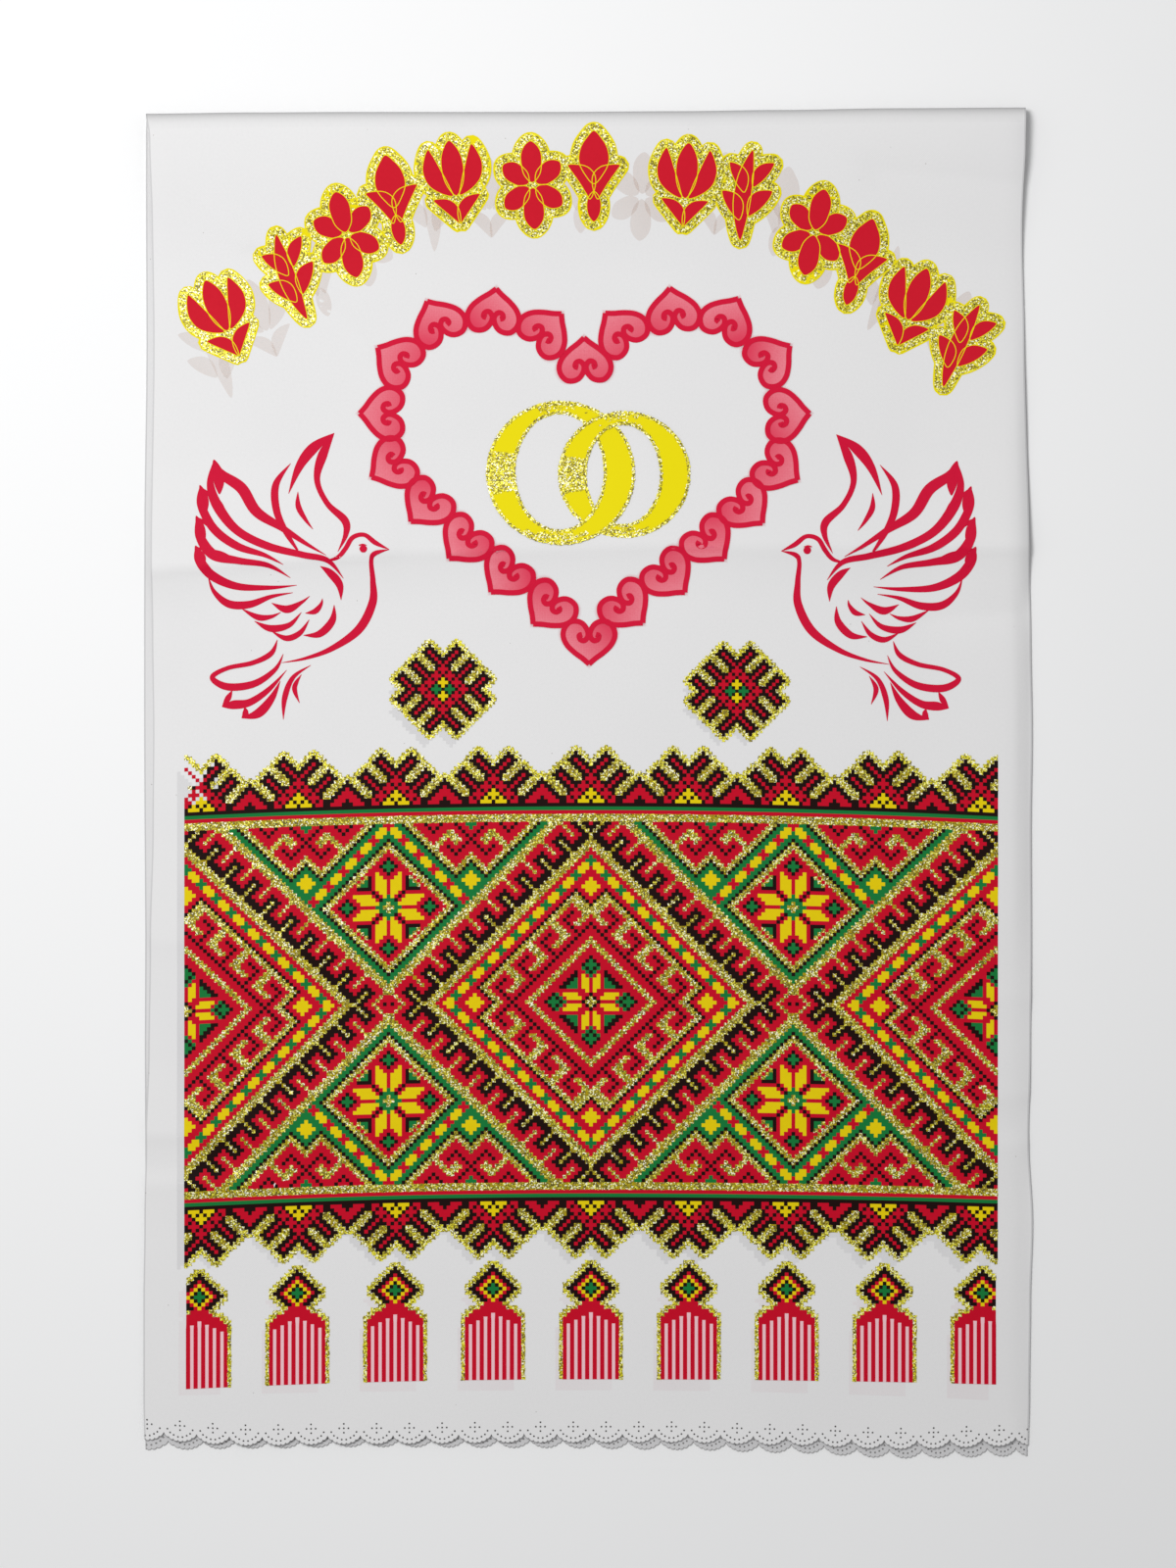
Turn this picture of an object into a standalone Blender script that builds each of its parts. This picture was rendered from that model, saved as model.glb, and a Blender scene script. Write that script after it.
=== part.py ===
"""A ceremonial towel (rushnyk) folded once across its middle and laid flat, its two scalloped ends together.

Metres, +Z up. The folded edge lies towards +Y and the scalloped ends towards -Y. The back leaf lies flat
on z = 0, the cloth rolls over at the fold, and the front leaf comes down onto it with its storage creases.
The origin is the centre of the underside.
"""

import math
from collections import namedtuple

import bmesh
import bpy
from mathutils import Vector

# Driving sizes
WIDTH = 0.360            # of the flat cloth
SHEET = 0.001            # thickness of the cloth as a solid
ROLL_RADIUS = 0.0032     # middle of the sheet, where it turns over at the fold
LEAF_HEIGHT = 0.0023     # middle of the front leaf above the surface, where it has come down
END_LIFT = 0.0007        # how much higher the front leaf's scalloped end stands
SETTLE = 0.050           # distance from the fold in which the front leaf comes down
END_LIFT_REACH = 0.045   # distance from the front end in which it rises again

SCALLOPS = 27            # lobes along each cut end
SCALLOP_DEPTH = 0.0030
SCALLOP_CHORDS = 6       # straight steps in one lobe
END_STRIP = 0.012        # plain strip above the lobes, in which they are cut

ROLL_STEPS = 8           # rows over the fold
SMOOTH_BELOW = 40        # degrees between faces that are shaded as one surface

# Where the cloth's two ends and its fold lie, from the left side (0) to the right side (1)
EndLine = namedtuple("EndLine", "across fold front_end back_end")
END_LINES = (
    EndLine(0.00, 0.2732, -0.2680, -0.2720),
    EndLine(0.12, 0.2737, -0.2702, -0.2714),
    EndLine(0.24, 0.2739, -0.2696, -0.2708),
    EndLine(0.45, 0.2739, -0.2690, -0.2712),
    EndLine(0.60, 0.2742, -0.2690, -0.2720),
    EndLine(0.72, 0.2747, -0.2700, -0.2732),
    EndLine(0.85, 0.2754, -0.2716, -0.2754),
    EndLine(1.00, 0.2757, -0.2702, -0.2746),
)

# Where the long sides of each leaf lie
SideLine = namedtuple("SideLine", "y back_left front_left front_right back_right")
SIDE_LINES = (
    SideLine(-0.276, -0.1810, -0.1813, 0.1794, 0.1792),
    SideLine(-0.250, -0.1811, -0.1818, 0.1800, 0.1790),
    SideLine(-0.212, -0.1812, -0.1818, 0.1804, 0.1790),
    SideLine(-0.180, -0.1810, -0.1814, 0.1813, 0.1792),
    SideLine(-0.145, -0.1811, -0.1808, 0.1796, 0.1786),
    SideLine(-0.110, -0.1813, -0.1798, 0.1804, 0.1786),
    SideLine(-0.062, -0.1811, -0.1792, 0.1808, 0.1784),
    SideLine(-0.020, -0.1814, -0.1782, 0.1806, 0.1784),
    SideLine(0.020, -0.1816, -0.1779, 0.1811, 0.1782),
    SideLine(0.060, -0.1816, -0.1783, 0.1805, 0.1780),
    SideLine(0.100, -0.1815, -0.1787, 0.1796, 0.1776),
    SideLine(0.180, -0.1806, -0.1778, 0.1778, 0.1768),
    SideLine(0.230, -0.1808, -0.1783, 0.1768, 0.1762),
    SideLine(0.262, -0.1809, -0.1790, 0.1779, 0.1776),
    SideLine(0.276, -0.1806, -0.1806, 0.1782, 0.1782),
)

# Soft ridges (height above 0) and troughs (below 0) of the front leaf, each along a straight stretch
Crease = namedtuple("Crease", "start_x start_y end_x end_y half_width height")
CREASES = (
    Crease(-0.190, 0.084, -0.032, 0.096, 0.022, 0.0012),     # upper storage crease, left part
    Crease(-0.032, 0.096, 0.070, 0.100, 0.022, 0.0010),      # and its middle
    Crease(0.070, 0.100, 0.190, 0.089, 0.022, 0.0014),       # and its right part
    Crease(-0.190, -0.062, 0.190, -0.086, 0.020, 0.0007),    # middle storage crease
    Crease(-0.190, -0.158, 0.190, -0.143, 0.018, 0.0010),    # lower storage crease
    Crease(0.105, 0.243, 0.190, 0.226, 0.022, -0.0004),      # slack by the fold, right
)

# Rows of each leaf, as shares of the way from the fold's roll to the end strip
BACK_ROWS = (0.25, 0.5, 0.75)
FRONT_ROWS = (
    0.015, 0.035, 0.06, 0.09, 0.12, 0.155, 0.20, 0.26, 0.29, 0.315, 0.335, 0.355, 0.38, 0.41, 0.47, 0.54,
    0.60, 0.63, 0.655, 0.68, 0.72, 0.765, 0.79, 0.81, 0.83, 0.86, 0.90, 0.95,
)

CLOTH_COLOUR = (0.78, 0.79, 0.80, 1.0)
CLOTH_ROUGHNESS = 0.62


def eased(table, key, column, at):
    """The value of a table's column at a place between its rows, with no corner at a row."""
    rows = sorted(table, key=lambda row: getattr(row, key))
    if at <= getattr(rows[0], key):
        return getattr(rows[0], column)
    for low, high in zip(rows, rows[1:]):
        start, end = getattr(low, key), getattr(high, key)
        if at <= end:
            share = (at - start) / (end - start)
            share = share * share * (3 - 2 * share)
            return getattr(low, column) * (1 - share) + getattr(high, column) * share
    return getattr(rows[-1], column)


def soft_step(share):
    share = min(1.0, max(0.0, share))
    return share * share * (3 - 2 * share)


def crease_height(crease, x, y):
    """Height that one crease adds at a place: a rounded ridge along its line, fading past both ends."""
    along_x, along_y = crease.end_x - crease.start_x, crease.end_y - crease.start_y
    length = math.hypot(along_x, along_y)
    share = ((x - crease.start_x) * along_x + (y - crease.start_y) * along_y) / length**2
    share = min(1.0, max(0.0, share))
    away = math.hypot(x - crease.start_x - share * along_x, y - crease.start_y - share * along_y)
    return crease.height * (1 - soft_step(away / crease.half_width))


def front_height(x, y, across):
    """Height of the middle of the front leaf."""
    from_fold = eased(END_LINES, "across", "fold", across) - ROLL_RADIUS - y
    from_end = y - eased(END_LINES, "across", "front_end", across)
    roll_top = SHEET / 2 + 2 * ROLL_RADIUS
    height = LEAF_HEIGHT + (roll_top - LEAF_HEIGHT) * (1 - soft_step(from_fold / SETTLE))
    height += END_LIFT * (1 - soft_step(from_end / END_LIFT_REACH))
    # Two creases that meet share one ridge, so the tallest and the deepest count, not the sum.
    added = [crease_height(crease, x, y) for crease in CREASES]
    return height + (max(0.0, *added) + min(0.0, *added)) * soft_step(from_fold / SETTLE)


def scallop(across):
    """How far a lobe's arc reaches short of the end line, 0 at its lowest point."""
    pitch = WIDTH / SCALLOPS
    radius = (pitch**2 / 4 + SCALLOP_DEPTH**2) / (2 * SCALLOP_DEPTH)
    from_middle = (across * SCALLOPS % 1 - 0.5) * pitch
    return radius - math.sqrt(radius**2 - from_middle**2)


def row_plan():
    """The rows of the flat cloth, from its back end to its front end, as (leaf, share of the way along it)."""
    rows = [("back_end", 0.0), ("back", 0.0)]
    rows += [("back", share) for share in BACK_ROWS]
    rows += [("roll", step / ROLL_STEPS) for step in range(ROLL_STEPS + 1)]
    rows += [("front", share) for share in FRONT_ROWS]
    return rows + [("front", 1.0), ("front_end", 0.0)]


def side_x(side, y, rise):
    """Where a long side lies. The rise is 0 on the back leaf, 1 on the front leaf, and between over the fold."""
    back = eased(SIDE_LINES, "y", "back_" + side, y)
    front = eased(SIDE_LINES, "y", "front_" + side, y)
    return back + (front - back) * rise


def place(leaf, share, across):
    """Where a point of the flat cloth lies once the towel is folded."""
    roll_y = eased(END_LINES, "across", "fold", across) - ROLL_RADIUS
    back_end = eased(END_LINES, "across", "back_end", across)
    front_end = eased(END_LINES, "across", "front_end", across)
    if leaf == "roll":
        angle = math.pi * (share - 0.5)
        y = roll_y + ROLL_RADIUS * math.cos(angle)
        z = SHEET / 2 + ROLL_RADIUS * (1 + math.sin(angle))
        rise = share
    elif leaf in ("back", "back_end"):
        end = back_end + END_STRIP
        y = end + (roll_y - end) * share if leaf == "back" else back_end + scallop(across)
        z = SHEET / 2
        rise = 0.0
    else:
        end = front_end + END_STRIP
        y = roll_y + (end - roll_y) * share if leaf == "front" else front_end + scallop(across)
        z = None
        rise = 1.0
    left, right = side_x("left", y, rise), side_x("right", y, rise)
    x = left + (right - left) * across
    return Vector((x, y, front_height(x, y, across) if z is None else z))


def centre(mesh):
    """Moves the cloth sideways and lengthways until the middle of the solid's box is over the origin."""
    across, along = Vector((1, 0, 0)), Vector((0, 1, 0))
    for axis, outer_face in ((across, 0.0), (along, SHEET / 2)):
        reach = [vert.co.dot(axis) for vert in mesh.verts]
        middle = (min(reach) + max(reach) + outer_face) / 2
        bmesh.ops.translate(mesh, verts=mesh.verts, vec=-axis * middle)


def fold_cloth():
    """A flat grid with its two end edges cut finer for the lobes, then laid in its folded place."""
    rows = row_plan()
    mesh = bmesh.new()
    bmesh.ops.create_grid(mesh, x_segments=SCALLOPS, y_segments=len(rows) - 1, size=0.5)
    ends = [edge for edge in mesh.edges if all(abs(vert.co.y) > 0.499 for vert in edge.verts)]
    bmesh.ops.subdivide_edges(mesh, edges=ends, cuts=SCALLOP_CHORDS - 1)
    for vert in mesh.verts:
        leaf, share = rows[round((vert.co.y + 0.5) * (len(rows) - 1))]
        vert.co = place(leaf, share, vert.co.x + 0.5)
    centre(mesh)
    bmesh.ops.triangulate(mesh, faces=[face for face in mesh.faces if len(face.verts) > 4])
    bmesh.ops.recalc_face_normals(mesh, faces=mesh.faces)
    return mesh


def cloth_material():
    material = bpy.data.materials.new("white_twill")
    material.use_nodes = True
    shader = material.node_tree.nodes["Principled BSDF"]
    shader.inputs["Base Color"].default_value = CLOTH_COLOUR
    shader.inputs["Roughness"].default_value = CLOTH_ROUGHNESS
    shader.inputs["Metallic"].default_value = 0.0
    return material


def build_towel():
    mesh = bpy.data.meshes.new("towel")
    folded = fold_cloth()
    folded.to_mesh(mesh)
    folded.free()
    mesh.shade_smooth()
    mesh.set_sharp_from_angle(angle=math.radians(SMOOTH_BELOW))
    towel = bpy.data.objects.new("towel", mesh)
    bpy.context.scene.collection.objects.link(towel)
    towel.data.materials.append(cloth_material())
    thicken = towel.modifiers.new("thickness", "SOLIDIFY")
    thicken.thickness = SHEET
    thicken.offset = 0.0
    thicken.use_even_offset = True


for leftover in list(bpy.data.objects):
    bpy.data.objects.remove(leftover, do_unlink=True)
build_towel()
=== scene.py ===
# A printed ceremonial towel, folded once across its middle and laid flat.
# The cloth, its cross-stitch print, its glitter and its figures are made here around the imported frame.
import math
import random

import bmesh
import bpy
from mathutils import Matrix, Vector, noise


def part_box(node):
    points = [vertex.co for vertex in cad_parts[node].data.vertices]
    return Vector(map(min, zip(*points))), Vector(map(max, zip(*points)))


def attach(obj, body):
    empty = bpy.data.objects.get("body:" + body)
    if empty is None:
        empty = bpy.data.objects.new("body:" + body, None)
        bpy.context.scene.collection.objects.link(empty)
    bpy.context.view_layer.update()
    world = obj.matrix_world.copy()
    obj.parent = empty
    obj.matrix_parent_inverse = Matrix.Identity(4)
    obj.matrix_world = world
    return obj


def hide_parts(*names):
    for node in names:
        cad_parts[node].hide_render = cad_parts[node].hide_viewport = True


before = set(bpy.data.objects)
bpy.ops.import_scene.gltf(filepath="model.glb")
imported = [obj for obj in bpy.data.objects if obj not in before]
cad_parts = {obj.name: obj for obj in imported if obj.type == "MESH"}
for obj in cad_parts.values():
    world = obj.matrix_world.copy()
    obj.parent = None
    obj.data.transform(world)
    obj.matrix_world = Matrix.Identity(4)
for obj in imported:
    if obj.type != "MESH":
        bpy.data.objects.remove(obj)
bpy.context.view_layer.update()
boxLow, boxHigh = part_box("towel")
print("frame loaded")


# how the cloth lies

cloth = {
    "width": 0.360,
    "thickness": 0.00042,
    "under": 0.00013,          # room for the print on its underside
    "rollReach": 0.0062,       # how far the rolled fold bulges past the flat leaves
    "rollHeight": 0.0066,      # of the fold's outer face above the table
    "restHeight": 0.00095,     # middle of the front leaf, where it has come down
    "settle": 0.060,           # distance from the fold in which it comes down
    "endLift": 0.0003,         # how much higher its scalloped end stands
    "endReach": 0.050,
    "sideRoll": 0.0007,        # how far its long edges dip
    "sideReach": 0.010,
    "leftShare": 0.4,          # of that dip on the left
    "foldShare": 0.35,         # how much of a crease is left at the fold
    "waveHeight": 0.00045,
    "broadWave": (9, 14),      # waves to the metre, across and along
    "fineWave": (26, 30),
    "leastHeight": 1.6,        # thicknesses of cloth under the front leaf's middle
    "columns": 108,
    "backRows": 24,
    "rollRows": 14,
    "frontRows": 246,
    "strip": 0.012,            # plain strip above the scallops
}

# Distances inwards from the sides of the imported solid's box
endLines = [  # across, fold, front end, back end
    (0.00, 0.0030, 0.0074, 0.0034),
    (0.12, 0.0025, 0.0052, 0.0040),
    (0.24, 0.0023, 0.0058, 0.0046),
    (0.45, 0.0023, 0.0064, 0.0042),
    (0.60, 0.0020, 0.0064, 0.0034),
    (0.72, 0.0015, 0.0054, 0.0022),
    (0.85, 0.0008, 0.0038, 0.0000),
    (1.00, 0.0005, 0.0052, 0.0008),
]
sideLines = [  # y, back leaf left, front leaf left, front leaf right, back leaf right
    (-0.276, 0.0008, 0.0005, 0.0019, 0.0021),
    (-0.250, 0.0007, 0.0000, 0.0013, 0.0023),
    (-0.212, 0.0006, 0.0000, 0.0009, 0.0023),
    (-0.180, 0.0008, 0.0004, 0.0000, 0.0021),
    (-0.145, 0.0007, 0.0010, 0.0017, 0.0027),
    (-0.110, 0.0005, 0.0020, 0.0009, 0.0027),
    (-0.062, 0.0007, 0.0026, 0.0005, 0.0029),
    (-0.020, 0.0004, 0.0036, 0.0007, 0.0029),
    (0.020, 0.0002, 0.0039, 0.0002, 0.0031),
    (0.060, 0.0002, 0.0035, 0.0008, 0.0033),
    (0.100, 0.0003, 0.0031, 0.0017, 0.0037),
    (0.180, 0.0012, 0.0040, 0.0035, 0.0045),
    (0.230, 0.0010, 0.0035, 0.0045, 0.0051),
    (0.262, 0.0009, 0.0028, 0.0034, 0.0037),
    (0.276, 0.0012, 0.0012, 0.0031, 0.0031),
]
# Start x and y, end x and y, reach above and below the crest, height, and height of its pressed lip
creases = [
    (-0.186, 0.086, -0.084, 0.0935, 0.045, 0.026, 0.0025, 0.0005),
    (-0.084, 0.0935, 0.020, 0.0965, 0.045, 0.024, 0.0021, 0.0002),
    (0.020, 0.0965, 0.110, 0.0955, 0.042, 0.024, 0.0020, 0.0002),
    (0.110, 0.0955, 0.186, 0.0960, 0.040, 0.026, 0.0028, 0.00025),
    (-0.186, -0.064, 0.186, -0.088, 0.040, 0.022, 0.0008, 0),
    (-0.186, -0.144, -0.130, -0.143, 0.030, 0.014, 0.0010, 0),
    (-0.130, -0.143, 0.130, -0.132, 0.030, 0.014, 0.0005, 0),
    (0.130, -0.132, 0.186, -0.127, 0.030, 0.014, 0.0007, 0),
    (-0.186, -0.1640, -0.130, -0.1630, 0.007, 0.030, 0.0007, 0),
    (-0.130, -0.1630, 0.130, -0.1520, 0.007, 0.030, 0.0003, 0),
    (0.130, -0.1520, 0.186, -0.1465, 0.007, 0.030, 0.0005, 0),
    (-0.180, 0.262, -0.140, 0.220, 0.007, 0.006, 0.0009, 0),
    (-0.174, 0.222, -0.150, 0.196, 0.004, 0.004, 0.0003, 0),
    (-0.121, 0.214, -0.090, 0.176, 0.008, 0.005, 0.0005, 0),
    (-0.158, 0.080, -0.142, 0.058, 0.006, 0.004, 0.0004, 0),
    (-0.122, 0.044, -0.088, 0.010, 0.006, 0.004, 0.0004, 0),
    (0.112, 0.060, 0.140, 0.030, 0.006, 0.004, 0.0003, 0),
    (-0.062, 0.276, -0.046, 0.262, 0.005, 0.006, -0.0009, 0),
    (0.034, 0.276, 0.060, 0.258, 0.006, 0.008, -0.0011, 0),
    (0.118, 0.250, 0.186, 0.244, 0.012, 0.018, -0.0012, 0),
    (0.120, 0.066, 0.186, 0.070, 0.012, 0.016, -0.0007, 0),
]
creaseShape = {
    "fallAbove": 1.4, "fallBelow": 2.4,          # the larger, the sharper the crest
    "lipAbove": 0.012, "lipBelow": 0.0035,       # reach of the pressed line along a storage crease
    "lipFade": 6,
}
rightRise = {   # the right edge stands off the table along its middle
    "height": 0.0024, "reach": 0.055, "roll": 0.0046, "inset": 0.0008, "least": 0.3,
    "top": 0.20, "bottom": -0.09, "fade": 0.06,
}


def softStep(share):
    share = min(1.0, max(0.0, share))
    return share * share * (3 - 2 * share)


def readLine(rows, at, column):
    # the value of a column between two rows, easing from one to the next
    if at <= rows[0][0]:
        return rows[0][column]
    for lower, upper in zip(rows, rows[1:]):
        if at <= upper[0]:
            share = softStep((at - lower[0]) / (upper[0] - lower[0]))
            return lower[column] + (upper[column] - lower[column]) * share
    return rows[-1][column]


def creaseHeight(crease, x, y):
    startX, startY, endX, endY, above, below, height, lip = crease
    alongX, alongY = endX - startX, endY - startY
    length = math.hypot(alongX, alongY)
    share = ((x - startX) * alongX + (y - startY) * alongY) / length ** 2
    held = min(1.0, max(0.0, share))
    past = abs(share - held) * length
    side = ((y - startY) * alongX - (x - startX) * alongY) / length
    away = math.hypot(abs(side) / (above if side > 0 else below), past / above)
    if away >= 1:
        return 0.0
    lip *= max(0.0, 1 - abs(side) / creaseShape["lipAbove" if side > 0 else "lipBelow"]) ** 2
    height *= (1 - away) ** creaseShape["fallAbove" if side > 0 else "fallBelow"]
    return height + lip * min(1.0, creaseShape["lipFade"] * (1 - away))


def frontHeight(x, y):
    # middle of the front leaf above the table
    across = (x - boxLow.x) / (boxHigh.x - boxLow.x)
    fromFold = boxHigh.y - readLine(endLines, across, 1) - cloth["rollReach"] - y
    fromEnd = y - boxLow.y - readLine(endLines, across, 2)
    top = cloth["rollHeight"] - cloth["thickness"] / 2
    settled = softStep(fromFold / cloth["settle"])
    height = top + (cloth["restHeight"] - top) * settled
    height += cloth["endLift"] * (1 - softStep(fromEnd / cloth["endReach"]))
    nearSide = min(x - boxLow.x, boxHigh.x - x)
    dip = cloth["sideRoll"] * (1 - softStep(nearSide / cloth["sideReach"]))
    height -= dip if x > 0 else dip * cloth["leftShare"]
    fromRight = boxHigh.x - x
    stand = softStep((rightRise["top"] - y) / rightRise["fade"])
    stand *= softStep((y - rightRise["bottom"]) / rightRise["fade"])
    stand = rightRise["least"] + (1 - rightRise["least"]) * stand
    stand *= rightRise["height"] * softStep(1 - fromRight / rightRise["reach"])
    height += stand * softStep((fromRight - rightRise["inset"]) / rightRise["roll"])
    added = [creaseHeight(crease, x, y) for crease in creases]
    held = cloth["foldShare"] + (1 - cloth["foldShare"]) * settled
    height += (max(0.0, *added) + min(0.0, *added)) * held
    (broadX, broadY), (fineX, fineY) = cloth["broadWave"], cloth["fineWave"]
    wave = noise.noise(Vector((x * broadX + 3.1, y * broadY, 0.7)))
    wave += 0.5 * noise.noise(Vector((x * fineX, y * fineY, 4.2)))
    height += cloth["waveHeight"] * (wave + 0.5) * settled
    return max(height, cloth["leastHeight"] * cloth["thickness"] + cloth["under"])


def sideEdges(y, rise):
    # left and right edge at a height between the back leaf (0) and the front leaf (1)
    left = readLine(sideLines, y, 1) * (1 - rise) + readLine(sideLines, y, 2) * rise
    right = readLine(sideLines, y, 4) * (1 - rise) + readLine(sideLines, y, 3) * rise
    return boxLow.x + left, boxHigh.x - right


def layCloth(across, along):
    # along runs from -1 at the back end to 1 at the front end, with the roll within rollShare of 0
    rollY = boxHigh.y - readLine(endLines, across, 1) - cloth["rollReach"]
    middle = (cloth["rollHeight"] + cloth["under"]) / 2
    radius = cloth["rollHeight"] - cloth["thickness"] / 2 - middle
    if abs(along) < rollShare:
        angle = math.pi / 2 * along / rollShare
        y = rollY + cloth["rollReach"] * math.cos(angle) ** 0.8
        z = middle + radius * math.sin(angle)
        rise = 0.5 + along / rollShare / 2
    else:
        front = along > 0
        end = boxLow.y + readLine(endLines, across, 2 if front else 3)
        stretch = (rollY - end - cloth["strip"]) / (stripShare - rollShare)
        if abs(along) <= stripShare:
            y = rollY - (abs(along) - rollShare) * stretch
        else:
            y = end + cloth["strip"] * (1 - (abs(along) - stripShare) / (1 - stripShare))
        z = cloth["thickness"] / 2 + cloth["under"]
        rise = 1.0 if front else 0.0
    left, right = sideEdges(y, rise)
    x = left + (right - left) * across
    if along < -stripShare + 1e-4:
        down = min(1.0, (-along - stripShare) / (1 - stripShare) * 1.5)
        nearSide = softStep(across * scallop["shiftEase"]) * softStep((1 - across) * scallop["shiftEase"])
        x += scallop["backShift"] * down * nearSide
    if rise == 1.0:
        z = frontHeight(x, y)
    return Vector((x, y, z))


leafLength = boxHigh.y - boxLow.y
rollShare = math.pi / 2 * cloth["rollHeight"] / 2 / leafLength
stripShare = 1 - cloth["strip"] / leafLength


def onFront(x, y, lift):
    return Vector((x, y, frontHeight(x, y) + cloth["thickness"] / 2 + lift))


# finishes

class Wire:
    # a shader socket that takes part in sums
    def __init__(self, recipe, socket):
        self.recipe, self.socket = recipe, socket

    def sum(self, operation, *values):
        return self.recipe.node("ShaderNodeMath", {"operation": operation}, values)

    def __add__(self, other):
        return self.sum("ADD", self, other)

    def __sub__(self, other):
        return self.sum("SUBTRACT", self, other)

    def __rsub__(self, other):
        return self.sum("SUBTRACT", other, self)

    def __mul__(self, other):
        return self.sum("MULTIPLY", self, other)

    def __gt__(self, other):
        return self.sum("GREATER_THAN", self, other)

    def __lt__(self, other):
        return self.sum("LESS_THAN", self, other)

    def __abs__(self):
        return self.sum("ABSOLUTE", self)

    __radd__ = __add__
    __rmul__ = __mul__


class Recipe:
    # a material's node tree, built by naming nodes and what goes into them
    def __init__(self, name):
        self.material = bpy.data.materials.new(name)
        self.material.use_nodes = True
        self.tree = self.material.node_tree
        self.shader = self.tree.nodes["Principled BSDF"]

    def put(self, socket, value):
        if isinstance(value, Wire):
            self.tree.links.new(value.socket, socket)
        elif value is not None:
            socket.default_value = value

    def node(self, kind, settings, inputs, output=0):
        made = self.tree.nodes.new(kind)
        for name, value in settings.items():
            if name == "stops":
                ramp = made.color_ramp
                while len(ramp.elements) < len(value):
                    ramp.elements.new(0.5)
                for element, (position, colour) in zip(ramp.elements, value):
                    element.position, element.color = position, colour
            else:
                setattr(made, name, value)
        pairs = inputs.items() if isinstance(inputs, dict) else enumerate(inputs)
        for key, value in pairs:
            self.put(made.inputs[key], value)
        return Wire(self, made.outputs[output])

    def place(self):
        return self.node("ShaderNodeTexCoord", {}, [], "Object")

    def layout(self, name="flat"):
        return self.node("ShaderNodeUVMap", {"uv_map": name}, [])

    def parts(self, whole, kind="ShaderNodeSeparateXYZ"):
        split = self.node(kind, {}, [whole]).socket.node
        return [Wire(self, socket) for socket in split.outputs]

    def mix(self, share, first, second, blend="MIX"):
        return self.node(
            "ShaderNodeMix", {"data_type": "RGBA", "blend_type": blend}, {0: share, 6: first, 7: second}, 2)

    def cloud(self, source, scale, detail=2.0):
        return self.node("ShaderNodeTexNoise", {}, {0: source, "Scale": scale, "Detail": detail})

    def raised(self, height, strength, distance):
        inputs = {"Strength": strength, "Distance": distance, "Height": height}
        return self.node("ShaderNodeBump", {}, inputs)

    def finish(self, **sockets):
        for name, value in sockets.items():
            self.put(self.shader.inputs[name.replace("_", " ")], value)
        return self.material


def display(red, green, blue):
    # a colour as it looks on a screen, 0 to 255, turned into the shader's linear light
    def linear(value):
        value /= 255
        return value / 12.92 if value <= 0.04045 else ((value + 0.055) / 1.055) ** 2.4
    return linear(red), linear(green), linear(blue), 1.0


twill = {"pitch": 0.00054, "turn": -40, "depth": 0.00004, "wales": 0.7, "pickScale": 1.6}


def twillHeight(recipe):
    # raised diagonal wales, crossed by the finer picks
    def ridges(direction, **inputs):
        settings = {"wave_type": "BANDS", "bands_direction": direction, "wave_profile": "SIN"}
        inputs = {name.replace("_", " "): value for name, value in inputs.items()}
        return recipe.node("ShaderNodeTexWave", settings, inputs, 1)

    scale = 0.314 / twill["pitch"]
    turn = (0, 0, math.radians(twill["turn"]))
    turned = recipe.node("ShaderNodeMapping", {}, {0: recipe.layout(), 2: turn})
    wales = ridges("X", Vector=turned, Scale=scale, Distortion=0.35, Detail=1.0, Detail_Scale=2.0)
    picks = ridges("Y", Vector=recipe.layout(), Scale=scale * twill["pickScale"], Distortion=0.2)
    return wales * twill["wales"] + picks * (1 - twill["wales"])


clothShade = {   # painted shade: greyer towards the folded edge, along the selvedges, on the leaf underneath and darker still at its scalloped end
    "fold": [(0.0, 0.40), (0.28, 0.62), (0.45, 0.75), (0.60, 0.85), (0.72, 0.92), (0.86, 0.97), (1.0, 1.0)],
    "foldReach": 0.0056, "selvedge": 0.0006, "selvedgeShare": 0.35, "behind": 0.12, "farEnd": 0.22,
}


def twillCloth():
    recipe = Recipe("white twill")
    height = twillHeight(recipe)
    cloud, slub = recipe.cloud(recipe.place(), 14.0, 3.0), recipe.cloud(recipe.layout(), 900.0)
    shade = recipe.mix(cloud, display(231, 230, 230), display(236, 235, 234))
    shade = recipe.mix(slub * 0.22, shade, display(209, 209, 211))
    # painted shade: the cloth is greyer in the hollows of the twill
    shade = recipe.mix((1 - height) * 0.16, shade, display(199, 200, 204))
    dust = recipe.node("ShaderNodeTexVoronoi", {}, {0: recipe.place(), "Scale": 95.0})
    shade = recipe.mix((dust < 0.022) * 0.5, shade, display(120, 112, 104))
    across, along, _ = recipe.parts(recipe.layout())
    # painted shade towards the folded edge, where the roll turns away from the lamp
    foldShade = recipe.node("ShaderNodeValToRGB", {"stops": [
        (at, (value, value, value, 1.0)) for at, value in clothShade["fold"]
    ]}, [abs(along) * (1 / clothShade["foldReach"])])
    shade = recipe.mix(1.0, shade, foldShade, "MULTIPLY")
    # painted shade: a darker line along the selvedges, and the back leaf darker where the front leaf shades
    # it
    selvedge = abs(across - cloth["width"] / 2) > cloth["width"] / 2 - clothShade["selvedge"]
    behind, farEnd = along > clothShade["foldReach"], along > leafLength - cloth["strip"]
    shade = recipe.mix(selvedge * clothShade["selvedgeShare"], shade, display(150, 150, 152))
    shade = recipe.mix(
        behind * clothShade["behind"] + farEnd * clothShade["farEnd"], shade, display(150, 150, 154))
    return recipe.finish(
        Base_Color=shade, Roughness=0.62 + 0.10 * slub, Normal=recipe.raised(height, 0.55, twill["depth"]),
        Specular_IOR_Level=0.28, Sheen_Weight=0.12, Sheen_Roughness=0.5)


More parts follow.
